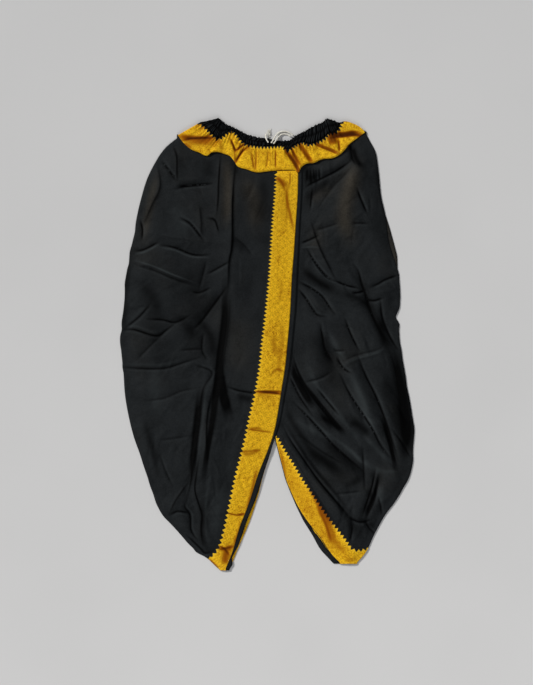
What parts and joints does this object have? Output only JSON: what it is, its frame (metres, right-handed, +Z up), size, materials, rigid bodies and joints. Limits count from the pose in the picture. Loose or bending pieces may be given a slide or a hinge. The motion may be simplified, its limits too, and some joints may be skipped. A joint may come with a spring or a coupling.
{
  "type": "dhoti pants",
  "caption": "Draped trousers laid flat: gathered elastic waist with a drawstring, crossing front panels and gold borders, worn as ready-stitched legwear.",
  "frame": {"origin": "middle of the underside of the garment's bounding box, cord ends left out", "axes": "+Y from the ankles to the waist, +X to the right as the front is seen, +Z up from the surface it lies on"},
  "size_m": [0.6181, 0.955, 0.0172],
  "materials": {
    "black_cloth": "matt plain weave with a faint sheen",
    "gold_border": "woven figured tape with a soft sheen",
    "white_cord": "matt twisted cotton"
  },
  "bodies": {
    "root": {"front_left_panel": "black_cloth", "front_right_panel": "black_cloth", "front_left_border": "gold_border", "front_right_border": "gold_border", "yoke_front": "gold_border", "casing_front": "black_cloth", "casing_back": "black_cloth", "yoke_back": "gold_border", "back_left_panel": "black_cloth", "back_right_panel": "black_cloth", "back_left_border": "gold_border", "back_right_border": "gold_border", "back_right_selvedge": "black_cloth", "drawstring_strand_outer": "white_cord", "drawstring_strand_inner": "white_cord", "drawstring_end_short": "white_cord"}
  },
  "joints": []
}
